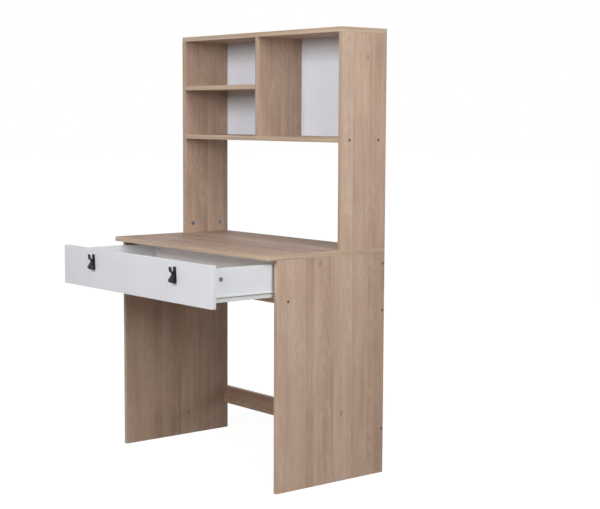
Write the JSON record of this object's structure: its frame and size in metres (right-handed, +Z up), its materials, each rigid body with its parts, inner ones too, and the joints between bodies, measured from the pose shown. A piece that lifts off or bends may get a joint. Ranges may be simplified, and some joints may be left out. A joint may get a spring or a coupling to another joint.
{
  "type": "student desk with hutch",
  "caption": "Oak-look panel desk with a wide white drawer on roller runners and an open hutch of cubbies standing on the desktop.",
  "frame": {"origin": "middle of the whole outline at rest, on the floor", "axes": "+X to the right of someone at the desk, +Y to the back, +Z up"},
  "size_m": [0.88, 0.716, 1.458],
  "materials": {
    "oak_board": "oak-look melamine on chipboard, satin",
    "oak_edge": "oak-look edge banding, satin",
    "white_board": "white melamine on chipboard, satin",
    "white_edge": "white edge banding, satin",
    "white_hardboard": "white-faced thin hardboard",
    "dark_screw": "dark steel",
    "zinc": "zinc plated",
    "beech": "plain beech",
    "runner_enamel": "white enamelled sheet steel",
    "nylon": "white nylon",
    "black_leather": "black leather, satin",
    "black_steel": "black enamelled steel"
  },
  "bodies": {
    "desk": {"desktop": "oak_board", "leg_left": "oak_board", "leg_right": "oak_board", "rear_rail": "oak_board", "lower_stretcher": "oak_board", "front_rail": "oak_board", "hutch_left": "oak_board", "hutch_right": "oak_board", "hutch_top": "oak_board", "hutch_shelf": "oak_board", "hutch_divider": "oak_board", "hutch_small_shelf": "oak_board", "desktop_edge_band": "oak_edge", "leg_left_edge_bands": "oak_edge", "leg_right_edge_bands": "oak_edge", "hutch_left_edge_bands": "oak_edge", "hutch_right_edge_bands": "oak_edge", "hutch_top_edge_band": "oak_edge", "hutch_shelf_edge_bands": "oak_edge", "rail_edge_bands": "oak_edge", "hutch_back": "white_hardboard", "leg_screws": "dark_screw", "hutch_screws": "dark_screw", "desk_dowels": "beech", "desk_cam_locks": "zinc", "desk_cam_bolts": "zinc", "runner_fixed_screws": "zinc", "back_nails": "zinc", "front_roller_pins": "zinc", "runner_fixed_left": "runner_enamel", "runner_fixed_right": "runner_enamel"},
    "drawer": {"drawer_front": "white_board", "drawer_side_left": "white_board", "drawer_side_right": "white_board", "drawer_back": "white_board", "drawer_front_edge_band": "white_edge", "drawer_edge_bands": "white_edge", "drawer_bottom": "white_hardboard", "drawer_screws": "dark_screw", "drawer_dowels": "beech", "drawer_cam_locks": "dark_screw", "drawer_cam_bolts": "zinc", "runner_moving_screws": "zinc", "rear_roller_pins": "zinc", "pull_screws": "black_steel", "pull_bushes": "black_steel", "runner_moving_left": "runner_enamel", "runner_moving_right": "runner_enamel", "pull_left": "black_leather", "pull_right": "black_leather"},
    "front_roller_left": {"front_roller_left": "nylon"},
    "rear_roller_left": {"rear_roller_left": "nylon"},
    "front_roller_right": {"front_roller_right": "nylon"},
    "rear_roller_right": {"rear_roller_right": "nylon"}
  },
  "joints": [
    {"name": "drawer_slide", "type": "slide", "parent": "desk", "child": "drawer", "axis": [0, -1, 0], "range_m": [-0.2245, 0.0355]},
    {"name": "front_roller_left_spin", "type": "hinge", "parent": "desk", "child": "front_roller_left", "pos_m": [-0.4189, -0.07983, 0.6255], "axis": [1, 0, 0], "continuous": true},
    {"name": "rear_roller_left_spin", "type": "hinge", "parent": "drawer", "child": "rear_roller_left", "pos_m": [-0.4166, 0.01417, 0.6233], "axis": [1, 0, 0], "continuous": true},
    {"name": "front_roller_right_spin", "type": "hinge", "parent": "desk", "child": "front_roller_right", "pos_m": [0.4189, -0.07983, 0.6255], "axis": [1, 0, 0], "continuous": true},
    {"name": "rear_roller_right_spin", "type": "hinge", "parent": "drawer", "child": "rear_roller_right", "pos_m": [0.4166, 0.01417, 0.6233], "axis": [1, 0, 0], "continuous": true}
  ],
  "couplings": [
    {"joint": "front_roller_left_spin", "follows": "drawer_slide", "rad_per_m": 125},
    {"joint": "rear_roller_left_spin", "follows": "drawer_slide", "rad_per_m": 125},
    {"joint": "front_roller_right_spin", "follows": "drawer_slide", "rad_per_m": 125},
    {"joint": "rear_roller_right_spin", "follows": "drawer_slide", "rad_per_m": 125}
  ]
}
